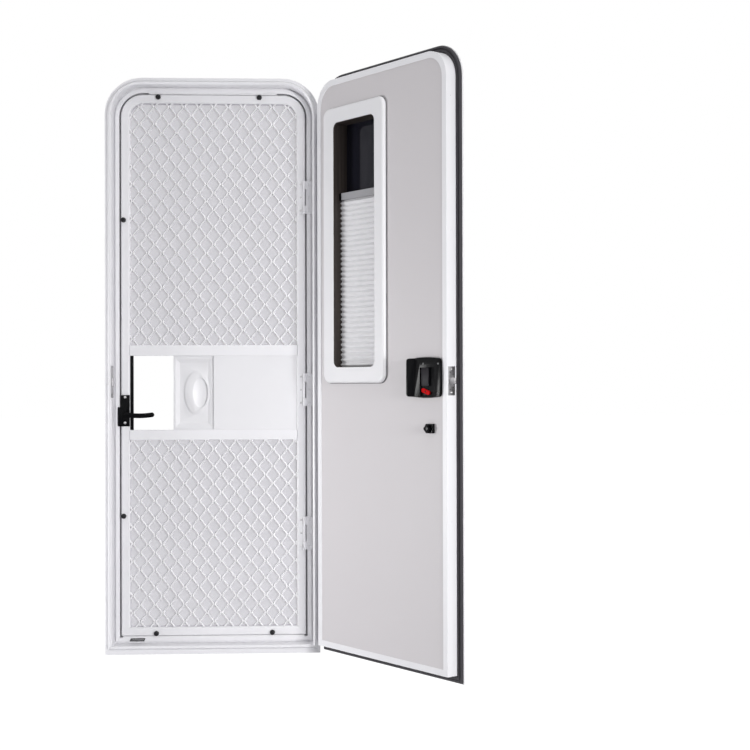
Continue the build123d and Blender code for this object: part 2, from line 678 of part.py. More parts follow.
def latch_lever():
    """Lever with a round hub, a stout arm that sags a little before its round tip, and its spindle."""
    lever_back = case_front - LEVER_STAND_OFF
    lever_front = lever_back - LEVER_T
    tip_x = LEVER_REACH - LEVER_TIP_R
    hub = Circle(LEVER_HUB_R)
    tip = Pos(tip_x, 0) * Circle(LEVER_TIP_R)
    edges = ThreePointArc((0, LEVER_TIP_R), (tip_x / 2, LEVER_TIP_R - LEVER_SAG), (tip_x, LEVER_TIP_R))
    edges += Line((tip_x, LEVER_TIP_R), (tip_x, -LEVER_TIP_R))
    edges += ThreePointArc((tip_x, -LEVER_TIP_R), (tip_x / 2, -LEVER_TIP_R - LEVER_SAG), (0, -LEVER_TIP_R))
    edges += Line((0, -LEVER_TIP_R), (0, LEVER_TIP_R))
    shape = hub + make_face(edges) + tip
    lever = extrude(facing(lever_front, LEVER_X, LEVER_Z) * shape, LEVER_T, dir=INWARD)
    return lever + rod(LEVER_X, LEVER_Z, SPINDLE_R, lever_back, LAND_Y + SPINDLE_IN_STILE)


save("screen_latch_lever", latch_lever())


# Main door, modelled shut and swung open as it is saved

core_back = PAN_INNER_Y - EDGE_LIP_T
latch_room = slab(-PAN_X, -PAN_X + EDGE_WALL + BOLT_OUT + BOLT_IN,
                  BOLT_Y - BOLT_W / 2 - BOLT_RUN, BOLT_Y + BOLT_W / 2 + BOLT_RUN,
                  BOLT_Z - BOLT_H / 2 - BOLT_RUN, BOLT_Z + BOLT_H / 2 + BOLT_RUN)
stem_room = rod(DEADBOLT_X, DEADBOLT_Z, TURN_STEM_R + TURN_STEM_ROOM, PAN_INNER_Y - TURN_STEM_IN, PAN_INNER_Y)
faceplate_room = slab(-PAN_X, -PAN_X + FACEPLATE_T, BOLT_Y - FACEPLATE_W / 2, BOLT_Y + FACEPLATE_W / 2,
                      FACEPLATE_LOW_Z, FACEPLATE_LOW_Z + FACEPLATE_H)
inner_skin_y = core_back - INNER_SKIN_T
window_left, window_right = WINDOW_X - WINDOW_W / 2, WINDOW_X + WINDOW_W / 2
inner_skin = arch(-EDGE_WALL, inner_skin_y, core_back) - pane(0, inner_skin_y, core_back, CUT_OUT_R)
save_on_door("door_inner_skin", inner_skin - stem_room)
core_below = slab(EDGE_WALL - PAN_X, PAN_X - EDGE_WALL, FLANGE_Y, inner_skin_y, PAN_LOW + EDGE_WALL, WINDOW_LOW_Z)
save_on_door("core_below_window", core_below - latch_room - stem_room)
save_on_door("core_beside_window",
             slab(EDGE_WALL - PAN_X, window_left, FLANGE_Y, inner_skin_y, WINDOW_LOW_Z, WINDOW_TOP_Z),
             slab(window_right, PAN_X - EDGE_WALL, FLANGE_Y, inner_skin_y, WINDOW_LOW_Z, WINDOW_TOP_Z))
core_above = arch(-EDGE_WALL, FLANGE_Y, inner_skin_y)
save_on_door("core_above_window", core_above & slab(-PAN_X, PAN_X, FLANGE_Y, inner_skin_y, WINDOW_TOP_Z, PAN_TOP))
edge_frame = arch(0, FLANGE_Y, PAN_INNER_Y) - arch(-EDGE_WALL, FLANGE_Y, core_back)
edge_frame -= arch(-EDGE_LIP, core_back, PAN_INNER_Y)
save_on_door("door_edge_frame", edge_frame - faceplate_room - latch_room)
skin = arch(SKIN_LAP, SKIN_Y, FLANGE_Y) - pane(0, SKIN_Y, FLANGE_Y, CUT_OUT_R)
save_on_door("door_outer_skin", skin)
save_on_door("door_seal", arch(SEAL_W, FLANGE_Y, FRONT_Y - SEAL_SQUEEZE_GAP)
             - arch(0, FLANGE_Y, FRONT_Y - SEAL_SQUEEZE_GAP))

trim = pane(TRIM_W, core_back, PAN_INNER_Y + TRIM_T, TRIM_R).moved(Pos(TRIM_SHIFT, 0, 0))
trim = fillet(trim.faces().sort_by(Axis.Y)[-1].edges(), TRIM_ROUND)
save_on_door("window_inner_trim", trim - pane(0, core_back, PAN_INNER_Y + TRIM_T, WINDOW_R))
outer_frame = pane(OUTER_FRAME_W, SKIN_Y - OUTER_FRAME_T, SKIN_Y, WINDOW_R + OUTER_FRAME_W)
save_on_door("window_outer_frame", outer_frame - pane(-GLASS_EDGE, SKIN_Y - OUTER_FRAME_T, SKIN_Y,
                                                      WINDOW_R - GLASS_EDGE))
save_on_door("window_glass", pane(0, SKIN_Y, SKIN_Y + GLASS_T, CUT_OUT_R))

blind_y = PAN_INNER_Y - BLIND_SET_BACK - BLIND_RAIL_T


def blind_cap(x_low):
    """End cap of the blind's rail, which runs in the side of the window."""
    return slab(x_low, x_low + BLIND_CAP_W, blind_y, blind_y + BLIND_RAIL_T, BLIND_RAIL_Z,
                BLIND_RAIL_Z + BLIND_RAIL_H)


def pleats():
    """Folded blind between its rail and the foot of the window."""
    pitch = (BLIND_RAIL_Z - WINDOW_LOW_Z) / PLEATS
    front = blind_y + PLEAT_BACK
    points = [(blind_y, WINDOW_LOW_Z)]
    for index in range(PLEATS):
        foot = WINDOW_LOW_Z + index * pitch
        points += [(front, foot), (front + PLEAT_D, foot + pitch / 2)]
    points += [(front, BLIND_RAIL_Z), (blind_y, BLIND_RAIL_Z)]
    side = Plane(origin=(window_left + BLIND_SIDE_GAP, 0, 0), x_dir=(0, 1, 0), z_dir=(1, 0, 0))
    return extrude(side * outline(*points), WINDOW_W - 2 * BLIND_SIDE_GAP)


save_on_door("blind_pleats", pleats())
blind_rail = slab(window_left + BLIND_CAP_W, window_right - BLIND_CAP_W, blind_y, blind_y + BLIND_RAIL_T,
                  BLIND_RAIL_Z, BLIND_RAIL_Z + BLIND_RAIL_H)
save_on_door("blind_rail", blind_rail)
save_on_door("blind_rail_caps", blind_cap(window_left), blind_cap(window_right - BLIND_CAP_W))


# Inner handle

handle_end = HANDLE_X + HANDLE_W
grip_start = handle_end - GRIP_W
pocket_end = grip_start - GRIP_RAMP - POCKET_FROM_GRIP
pocket_start = pocket_end - POCKET_W
paddle_x = pocket_end - PADDLE_SIDE_GAP - PADDLE_BARREL_R
paddle_y = PAN_INNER_Y + POCKET_FLOOR + PADDLE_BARREL_R + PADDLE_LIFT
pocket_low = HANDLE_Z - POCKET_DROP - POCKET_H / 2
pocket_top = pocket_low + POCKET_H
paddle_z = pocket_top - PADDLE_TOP_GAP - PADDLE_H / 2
lock_x = pocket_end - LOCK_FROM_GRIP
lock_z = pocket_low + LOCK_RISE


def handle_housing():
    """Moulded housing: a thin plate towards the free edge and a proud grip towards the window."""
    side = outline((HANDLE_X, PAN_INNER_Y), (handle_end, PAN_INNER_Y),
                   (handle_end, PAN_INNER_Y + GRIP_T), (grip_start, PAN_INNER_Y + GRIP_T),
                   (grip_start - GRIP_RAMP, PAN_INNER_Y + HANDLE_PLATE_T), (HANDLE_X, PAN_INNER_Y + HANDLE_PLATE_T))
    body = extrude(Pos(0, 0, HANDLE_LOW_Z) * side, HANDLE_H)
    body = fillet(body.edges().filter_by(Axis.Z).group_by(Axis.Y)[-1], GRIP_ROUND)
    half_w, half_h = HANDLE_W / 2, HANDLE_H / 2
    side_w, side_h = half_w - HANDLE_CROWN, half_h - HANDLE_CROWN
    rim = ThreePointArc((-side_w, side_h), (0, half_h), (side_w, side_h))
    rim += ThreePointArc((side_w, side_h), (half_w, 0), (side_w, -side_h))
    rim += ThreePointArc((side_w, -side_h), (0, -half_h), (-side_w, -side_h))
    rim += ThreePointArc((-side_w, -side_h), (-half_w, 0), (-side_w, side_h))
    rim_face = make_face(rim)
    rim_face = fillet(rim_face.vertices(), HANDLE_CORNER_R)
    body = body & extrude(facing(PAN_INNER_Y, HANDLE_X + half_w, HANDLE_Z) * rim_face, GRIP_T, dir=INWARD)
    pocket = slab(pocket_start, pocket_end, PAN_INNER_Y + POCKET_FLOOR, PAN_INNER_Y + GRIP_T,
                  pocket_low, pocket_top)
    pin = post(paddle_x, paddle_y, PADDLE_PIN_R, paddle_z - PADDLE_H / 2, pocket_top)
    peg = rod(lock_x, lock_z, LOCK_PIN_R, PAN_INNER_Y, PAN_INNER_Y + POCKET_FLOOR + LOCK_TAB_T)
    return body - pocket + pin + peg


def handle_paddle():
    """Pull paddle that turns on the housing's upright pin."""
    plate = slab(paddle_x - PADDLE_W, paddle_x, paddle_y - PADDLE_T / 2, paddle_y + PADDLE_T / 2,
                 paddle_z - PADDLE_H / 2, paddle_z + PADDLE_H / 2)
    plate += post(paddle_x, paddle_y, PADDLE_BARREL_R, paddle_z - PADDLE_H / 2, paddle_z + PADDLE_H / 2)
    return plate - post(paddle_x, paddle_y, PADDLE_PIN_R + PADDLE_RUN, paddle_z - PADDLE_H, paddle_z + PADDLE_H)


def lock_tab():
    """Tilted lock tab that turns on a peg in the housing's floor."""
    floor_y = PAN_INNER_Y + POCKET_FLOOR + LOCK_LIFT
    shape = SlotCenterToCenter(LOCK_TAB_L - 2 * LOCK_TAB_R, 2 * LOCK_TAB_R)
    shape = Rot(0, 0, LOCK_TILT) * shape - Circle(LOCK_PIN_R + LOCK_RUN)
    return extrude(facing(floor_y, lock_x, lock_z) * shape, LOCK_TAB_T, dir=INWARD)


save_on_door("inner_handle_housing", handle_housing())
save_on_door("inner_handle_paddle", handle_paddle())
save_on_door("lock_tab", lock_tab())


# Deadbolt and latch


def deadbolt_turn():
    """Square thumb-turn set on its corner, on a round stem."""
    base_y = PAN_INNER_Y + DEADBOLT_BASE_T
    knob_y = base_y + TURN_STEM
    knob = extrude(facing(knob_y, DEADBOLT_X, DEADBOLT_Z) * Rot(0, 0, TURN_ANGLE) * RectangleRounded(
        TURN_SIZE, TURN_SIZE, DEADBOLT_CORNER_R), TURN_T, dir=INWARD)
    return knob + rod(DEADBOLT_X, DEADBOLT_Z, TURN_STEM_R, PAN_INNER_Y - TURN_STEM_IN, knob_y)


base = extrude(facing(PAN_INNER_Y - EDGE_LIP_T, DEADBOLT_X, DEADBOLT_Z) * RectangleRounded(
    DEADBOLT_BASE, DEADBOLT_BASE_H, DEADBOLT_CORNER_R), DEADBOLT_BASE_T + EDGE_LIP_T, dir=INWARD)
base -= rod(DEADBOLT_X, DEADBOLT_Z, TURN_STEM_R + TURN_RUN,
            PAN_INNER_Y - TURN_STEM_IN, PAN_INNER_Y + DEADBOLT_BASE_T)
save_on_door("deadbolt_base", base)
save_on_door("deadbolt_turn", deadbolt_turn())

bolt_hole = slab(-PAN_X, -PAN_X + FACEPLATE_T, BOLT_Y - BOLT_W / 2 - BOLT_RUN, BOLT_Y + BOLT_W / 2 + BOLT_RUN,
                 BOLT_Z - BOLT_H / 2 - BOLT_RUN, BOLT_Z + BOLT_H / 2 + BOLT_RUN)
save_on_door("latch_faceplate", faceplate_room - bolt_hole)
bolt = slab(-PAN_X - BOLT_OUT, -PAN_X + BOLT_IN, BOLT_Y - BOLT_W / 2, BOLT_Y + BOLT_W / 2,
            BOLT_Z - BOLT_H / 2, BOLT_Z + BOLT_H / 2)
nose = bolt.edges().filter_by(Axis.Z).sort_by(Axis.X)[:2].sort_by(Axis.Y)[-1]
save_on_door("latch_bolt", chamfer(nose, BOLT_NOSE))


# Outside of the main door

outer_plate = extrude(facing(SKIN_Y - OUTER_PLATE_T, HANDLE_X + HANDLE_W / 2, HANDLE_Z) * RectangleRounded(
    HANDLE_W, HANDLE_H, HANDLE_CORNER_R), OUTER_PLATE_T, dir=INWARD)
save_on_door("outer_handle_plate", outer_plate)
pull_side = outline((0, 0), (OUTER_PADDLE_W, 0), (OUTER_PADDLE_W, -OUTER_PADDLE_T),
                    (OUTER_PADDLE_FINGER, -OUTER_PADDLE_T), (0, -OUTER_PADDLE_FINGER))
pull_low = HANDLE_Z - OUTER_PADDLE_H / 2
pull = extrude(Pos(HANDLE_X + HANDLE_W / 2 - OUTER_PADDLE_W / 2, SKIN_Y - OUTER_PLATE_T, pull_low) * pull_side,
               OUTER_PADDLE_H)
save_on_door("outer_handle_pull", pull)
handle_key = rod(HANDLE_X + HANDLE_W / 2, HANDLE_LOW_Z + KEY_RISE, KEY_R, SKIN_Y - OUTER_PLATE_T - KEY_PROUD,
                 SKIN_Y - OUTER_PLATE_T)
deadbolt_key = rod(DEADBOLT_X, DEADBOLT_Z, KEY_R, SKIN_Y - KEY_PROUD, SKIN_Y)
save_on_door("key_cylinders", handle_key, deadbolt_key)
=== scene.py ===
import bmesh
import bpy
import json
from math import asin, copysign, cos, pi, radians, sin
from mathutils import Matrix, Vector


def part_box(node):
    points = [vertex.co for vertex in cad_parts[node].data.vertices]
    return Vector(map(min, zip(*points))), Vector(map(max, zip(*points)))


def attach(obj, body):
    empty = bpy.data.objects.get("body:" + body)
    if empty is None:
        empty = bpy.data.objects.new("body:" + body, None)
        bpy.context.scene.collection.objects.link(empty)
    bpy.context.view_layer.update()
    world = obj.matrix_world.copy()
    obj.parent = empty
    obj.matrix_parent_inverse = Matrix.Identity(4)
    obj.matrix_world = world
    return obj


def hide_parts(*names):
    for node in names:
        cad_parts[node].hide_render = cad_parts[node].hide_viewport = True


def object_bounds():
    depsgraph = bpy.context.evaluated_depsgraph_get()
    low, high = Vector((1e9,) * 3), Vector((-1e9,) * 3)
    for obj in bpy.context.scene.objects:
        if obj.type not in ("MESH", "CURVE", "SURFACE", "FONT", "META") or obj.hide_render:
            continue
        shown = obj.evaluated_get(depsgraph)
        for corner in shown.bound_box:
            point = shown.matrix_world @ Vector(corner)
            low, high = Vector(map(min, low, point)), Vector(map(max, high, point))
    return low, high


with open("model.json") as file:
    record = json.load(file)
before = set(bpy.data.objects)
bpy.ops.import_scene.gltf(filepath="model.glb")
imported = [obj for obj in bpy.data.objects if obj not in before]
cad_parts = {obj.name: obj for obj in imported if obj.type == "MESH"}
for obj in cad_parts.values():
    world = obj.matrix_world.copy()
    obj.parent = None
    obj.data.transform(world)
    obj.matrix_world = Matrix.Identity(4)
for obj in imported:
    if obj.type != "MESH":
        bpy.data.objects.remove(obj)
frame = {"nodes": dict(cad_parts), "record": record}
CAD_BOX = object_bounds()
RECORD = frame["record"]

# Looks of a caravan entry door set, in metres: a white frame, a security screen with a diamond grille,
# and the main door standing open.

# Camera, solved from the edges of the frame and of the open door
PHOTO_SIDE = 750
FOCAL_PIXELS = 1393.8
CAMERA_PLACE = (0.3214, -4.3609, 0.8311)
CAMERA_YAW = radians(-2.423)
CAMERA_PITCH = radians(0.323)
CAMERA_ROLL = radians(0.141)
SENSOR_MM = 36.0
CLIP_END = 200.0

# Light: each softbox by degrees to the right of straight ahead, degrees up, distance, side, watts and aim
BEAM_SPREAD = radians(90)
FRAME_AIM = Vector((0.25, 0.0, 0.55))
PANEL_AIM = Vector((0.45, -0.25, 0.65))
BACK_AIM = Vector((0.25, 0.0, 0.85))
SOFTBOXES = {
    "key_softbox": (25, 8, 5.0, 0.65, 16.5, FRAME_AIM),
    "side_softbox": (33, 2, 5.0, 0.35, 14.5, FRAME_AIM),
    "left_fill": (-87, -4, 3.5, 0.8, 14.5, PANEL_AIM),
    "top_softbox": (15, 62, 3.2, 0.9, 3.0, FRAME_AIM),
    "back_softbox": (152, 14, 5.0, 1.2, 30.0, BACK_AIM),
}
AMBIENT = 0.345
AMBIENT_COLOUR = (0.97, 0.975, 1, 1)
BACKDROP = 1.0
BACKDROP_COLOUR = (1, 1, 1, 1)
FLOOR_SIDE = 60.0
FLOOR_BELOW = 0.001
FLOOR_COLOUR = (0.86, 0.86, 0.87, 1)
FLOOR_SHADOW_SHARE = 0.25
FLOOR_GLOW = 1.25

# Places in the frame and the screen door
STILE_INNER_X = 0.261
RAIL_TOP_Z = 1.710
RAIL_LOW_Z = 0.068
MID_RAIL_TOP_Z = 0.951
MID_RAIL_LOW_Z = 0.654
CORNER_X = 0.218
CORNER_Z = 1.667
INNER_CORNER_R = 0.043
GAP_X = 0.293
GAP_LOW = 0.036
GAP_TOP = 1.742
LAND_Y = 0.030
GRILLE_Y = 0.038
GRILLE_DEPTH = 0.007

# Diamond grille of waved strips
CELL_W = 0.0462
CELL_H = 0.054
STRIP_T = 0.0044
CROSSING_X = 0.0009
UPPER_CROSSING_Z = 1.700
LOWER_CROSSING_Z = 0.624
STRIP_SEAT = 0.003
STEPS_PER_CELL = 12
WAVE_SHARPNESS = 0.965
CORNER_CUT_DEGREES = (15, 30, 45, 60, 75)

# Places on the main door, given with the door shut
PAN_X = 0.303
PAN_LOW = 0.026
PAN_TOP = 1.752
PAN_INNER_Y = 0.013
PAN_CORNER_R = 0.078
SKIN_Y = -0.032
WINDOW_X = 0.104
WINDOW_W = 0.202
WINDOW_LOW = 0.878
WINDOW_TOP = 1.615
CORNER_STEPS = 12
WINDOW_R = 0.020
CUT_OUT_R = 0.004
TRIM_X = 0.110
TRIM_W = 0.047
TRIM_T = 0.012
TRIM_R = 0.028

# Meshes: merging distance, the angles that count as flat, sharp and creased, and the rounding of edges
MERGE = 1e-6
FLAT = radians(1)
SHARP = radians(28)
CREASE = radians(32)
EDGE_STEPS = 2
EXTRUSION_EDGE = 0.0007
MOULDING_EDGE = 0.0009
PLATE_EDGE = 0.0004


def joint_named(name):
    """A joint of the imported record."""
    return next(joint for joint in RECORD["behaviour"]["joints"] if joint["name"] == name)


MAIN_HINGE = joint_named("main_door_hinge")
HINGE_PLACE = Vector(MAIN_HINGE["pos_m"])
OPEN = (Matrix.Translation(HINGE_PLACE) @ Matrix.Rotation(radians(-MAIN_HINGE["range_deg"][0]), 4, "Z")
        @ Matrix.Translation(-HINGE_PLACE))
NODE_BODY = {node: body for body, nodes in RECORD["behaviour"]["bodies"].items() for node in nodes}
NODE_SLOT = {row["node"]: row["material_slot"] for row in RECORD["subparts"]}


# Materials


class Signal:
    """Output of a node; arithmetic on it adds Math nodes."""

    def __init__(self, tree, socket):
        self.tree = tree
        self.socket = socket

    def math(self, operation, *others):
        return self.tree.node("Math", {"operation": operation}, dict(enumerate((self, *others))))

    def __add__(self, other):
        return self.math("ADD", other)

    def __mul__(self, other):
        return self.math("MULTIPLY", other)

    __radd__ = __add__
    __rmul__ = __mul__


class Tree:
    """Nodes of a material or of the world."""

    def __init__(self, owner):
        owner.use_nodes = True
        self.nodes = owner.node_tree.nodes
        self.links = owner.node_tree.links

    def node(self, kind, settings=None, sockets=None, output=0):
        """Add a node with its settings and the values or links of its sockets."""
        made = self.nodes.new("ShaderNode" + kind)
        for name, value in (settings or {}).items():
            setattr(made, name, value)
        for name, value in (sockets or {}).items():
            self.feed(made.inputs[name], value)
        return Signal(self, made.outputs[output])

    def feed(self, socket, value):
        if isinstance(value, Signal):
            self.links.new(value.socket, socket)
        else:
            socket.default_value = value

    def ends(self, kind, shader):
        """Add the output node, which shows a shader."""
        self.links.new(shader.socket, self.nodes.new("ShaderNode" + kind).inputs["Surface"])


class Finish(Tree):
    """A surface finish on the object's own coordinates."""

    def __init__(self, name, colour, roughness, metallic=0.0, gloss=0.5):
        self.material = bpy.data.materials.new(name)
        super().__init__(self.material)
        self.shader = self.nodes["Principled BSDF"]
        self.colour = (*colour, 1.0)
        self.set("Base Color", self.colour)
        self.set("Roughness", roughness)
        self.set("Metallic", metallic)
        self.set("Specular IOR Level", gloss)
        self.place = self.node("TexCoord", output="Object")

    def set(self, socket, value):
        self.feed(self.shader.inputs[socket], value)

    def noise(self, scale, detail=2.0, stretch=(1, 1, 1)):
        """Noise from 0 to 1, finer with a larger scale, drawn out where stretch is small."""
        place = self.node("Mapping", {}, {"Vector": self.place, "Scale": stretch})
        return self.node("TexNoise", {}, {"Vector": place, "Scale": scale, "Detail": detail})

    def tint(self, share, colour):
        """Blend the base colour towards another by a share."""
        colours = {0: share, 6: self.colour, 7: (*colour, 1.0)}
        self.set("Base Color", self.node("Mix", {"data_type": "RGBA"}, colours, output=2))

    def bump(self, height, strength, distance):
        relief = {"Height": height, "Strength": strength, "Distance": distance}
        self.set("Normal", self.node("Bump", {}, relief))


def powder_coat(name, colour, roughness, shade):
    """Baked paint: faint orange peel, and a slow drift of tone and gloss."""
    finish = Finish(name, colour, roughness)
    drift = finish.noise(7.0, 3.0)
    finish.tint(drift, shade)
    finish.set("Roughness", drift * 0.14 + (roughness - 0.07))
    finish.bump(finish.noise(900.0), 0.10, 0.0003)
    return finish.material


def moulding(name, colour, roughness, shade, grain=1500.0, depth=0.18, gloss=0.5):
    """Moulded plastic with a fine grain."""
    finish = Finish(name, colour, roughness, gloss=gloss)
    drift = finish.noise(16.0, 3.0)
    finish.tint(drift, shade)
    finish.set("Roughness", drift * 0.16 + (roughness - 0.08))
    finish.bump(finish.noise(grain, 3.0), depth, 0.0003)
    return finish.material


def panel_face(name):
    """Inner sheet of the main door: warm pale grey with a fine matt texture."""
    finish = Finish(name, (0.625, 0.598, 0.612), 0.55, gloss=0.4)
    drift = finish.noise(2.2, 4.0)
    finish.tint(drift, (0.655, 0.63, 0.642))
    finish.set("Roughness", drift * 0.12 + 0.48)
    leather = finish.node("TexVoronoi", {"feature": "SMOOTH_F1"}, {"Vector": finish.place, "Scale": 420.0})
    finish.bump(leather, 0.10, 0.0004)
    return finish.material


def rubber(name):
    """Matt black rubber with a dusty bloom and lengthwise streaks."""
    finish = Finish(name, (0.022, 0.020, 0.024), 0.62, gloss=0.35)
    bloom = finish.noise(60.0, 4.0, (1, 1, 0.05))
    finish.tint(bloom, (0.058, 0.054, 0.062))
    finish.set("Roughness", bloom * 0.2 + 0.5)
    finish.bump(finish.noise(1100.0), 0.2, 0.0003)
    return finish.material


def weave(finish, pitch):
    """Height of a plain weave on an upright sheet, from 0 to 1."""
    x, y, z = (finish.node("SeparateXYZ", {}, {"Vector": finish.place}, axis) for axis in "XYZ")
    turns = 2 * pi / pitch
    across = ((x + y) * turns).math("SINE")
    along = (z * turns).math("SINE")
    return across.math("MAXIMUM", along) * 0.5 + 0.5


def insect_net(name):
    """Fine woven insect mesh, half open."""
    finish = Finish(name, (0.545, 0.53, 0.58), 0.7)
    threads = weave(finish, 0.0015)
    finish.set("Alpha", threads * 0.10 + 0.35)
    finish.set("Roughness", finish.noise(40.0) * 0.2 + 0.6)
    return finish.material


def blind_cloth(name):
    """Spun pleated cloth."""
    finish = Finish(name, (0.80, 0.795, 0.81), 0.8)
    finish.tint(finish.noise(30.0, 4.0, (1, 1, 6)), (0.85, 0.845, 0.86))
    finish.set("Roughness", finish.noise(90.0) * 0.15 + 0.75)
    finish.bump(weave(finish, 0.0012), 0.25, 0.0002)
    return finish.material


def tinted_pane(name):
    """Dark acrylic which lets a little light through, with faint bluish upright bands that are painted
    reflection.
    """
    finish = Finish(name, (0.004, 0.004, 0.006), 0.06, gloss=0.2)
    haze_and_reflection = finish.noise(24.0, 3.0, (1, 1, 0.02))
    # Bluish upright bands in the colour: painted reflection on the pane.
    finish.tint(haze_and_reflection, (0.016, 0.016, 0.026))
    finish.set("Roughness", haze_and_reflection * 0.08 + 0.04)
    finish.set("Alpha", haze_and_reflection * 0.02 + 0.97)
    return finish.material


def reveal_lining(name):
    """Near-black lining of the window's reveal with upright streaks, tinted brown as painted reflections."""
    finish = Finish(name, (0.010, 0.008, 0.008), 0.5, gloss=0.25)
    streaks_and_reflections = finish.noise(140.0, 3.0, (1, 1, 0.03))
    # The brown tint of the streaks is painted reflection in the reveal.
    finish.tint(streaks_and_reflections, (0.060, 0.048, 0.042))
    finish.set("Roughness", streaks_and_reflections * 0.2 + 0.4)
    finish.bump(streaks_and_reflections, 0.15, 0.0003)
    return finish.material


def brushed_metal(name, colour, roughness):
    """Plated steel with brush lines along Z and small stains."""
    finish = Finish(name, colour, roughness, 1.0)
    lines = finish.noise(900.0, 3.0, (1, 1, 0.04))
    finish.tint(finish.noise(140.0, 4.0), tuple(0.55 * part for part in colour))
    finish.set("Roughness", lines * 0.25 + (roughness - 0.1))
    finish.bump(lines, 0.1, 0.0002)
    return finish.material


FINISH = {
    "white_frame": powder_coat("white_powder_coat", (0.83, 0.825, 0.85), 0.36, (0.86, 0.855, 0.875)),
    "white_grille": powder_coat("white_grille_coat", (0.88, 0.875, 0.895), 0.34, (0.90, 0.895, 0.91)),
    "insect_mesh": insect_net("insect_net"),
    "door_panel": panel_face("warm_grey_panel"),
    "foam_core": moulding("insulation_foam", (0.78, 0.75, 0.66), 0.85, (0.72, 0.69, 0.6), 600.0, 0.5),
    "outer_skin": powder_coat("white_gloss_skin", (0.80, 0.79, 0.80), 0.2, (0.83, 0.825, 0.835)),
    "black_rubber": rubber("black_rubber"),
    "white_plastic": moulding("white_moulding", (0.80, 0.795, 0.815), 0.38, (0.825, 0.82, 0.838)),
    "black_plastic": moulding("black_moulding", (0.003, 0.003, 0.0035), 0.2, (0.005, 0.005, 0.006),
                              gloss=0.07),
    "grey_plastic": moulding("dark_grey_moulding", (0.016, 0.015, 0.018), 0.42, (0.024, 0.022, 0.026),
                             gloss=0.08),
    "red_plastic": moulding("red_moulding", (0.60, 0.003, 0.005), 0.45, (0.52, 0.002, 0.004), gloss=0.04),
    "tinted_glazing": tinted_pane("tinted_acrylic"),
    "blind_fabric": blind_cloth("pleated_cloth"),
    "rail_grey": powder_coat("grey_rail_lacquer", (0.32, 0.32, 0.335), 0.4, (0.36, 0.36, 0.375)),
    "latch_steel": brushed_metal("plated_steel", (0.50, 0.49, 0.505), 0.38),
}
SCREW_STEEL = brushed_metal("screw_steel", (0.74, 0.735, 0.74), 0.3)
DULL_STEEL = brushed_metal("dull_screw_steel", (0.20, 0.20, 0.205), 0.35)
BUFFER_RUBBER = moulding("buffer_rubber", (0.008, 0.008, 0.010), 0.5, (0.016, 0.016, 0.018),
                         900.0, 0.25, 0.25)
# Dark grey ring round the window trim: a painted shadow line where the trim stands on the panel.
TRIM_SHADOW_LINE = moulding("painted_trim_shadow_line", (0.10, 0.10, 0.105), 0.6, (0.16, 0.16, 0.165), 700.0, 0.4, 0.3)
LINING = reveal_lining("reveal_lining")


# Pieces


def shown(shape, name, material, body):
    """Make a mesh object of a shape, with crisp edges, and let it ride on a body."""
    mesh = bpy.data.meshes.new(name)
    shape.to_mesh(mesh)
    shape.free()
    mesh.materials.append(material)
    mesh.shade_smooth()
    mesh.set_sharp_from_angle(angle=CREASE)
    piece = bpy.data.objects.new(name, mesh)
    bpy.context.scene.collection.objects.link(piece)
    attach(piece, body)
    return piece


def softened(node, width):
    """Show a CAD node with its sharp edges rounded."""
    shape = bmesh.new()
    shape.from_mesh(frame["nodes"][node].data)
    bmesh.ops.remove_doubles(shape, verts=shape.verts, dist=MERGE)
    bmesh.ops.dissolve_limit(shape, angle_limit=FLAT, verts=shape.verts, edges=shape.edges)
    sharp = [edge for edge in shape.edges if edge.is_manifold and edge.calc_face_angle() > SHARP]
    bmesh.ops.bevel(shape, geom=sharp, offset=width, offset_type="OFFSET", segments=EDGE_STEPS, profile=0.5,
                    affect="EDGES", clamp_overlap=True, material=-1)
    piece = shown(shape, node + "_dressed", FINISH[NODE_SLOT[node]], NODE_BODY[node])
    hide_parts(node)
    return piece


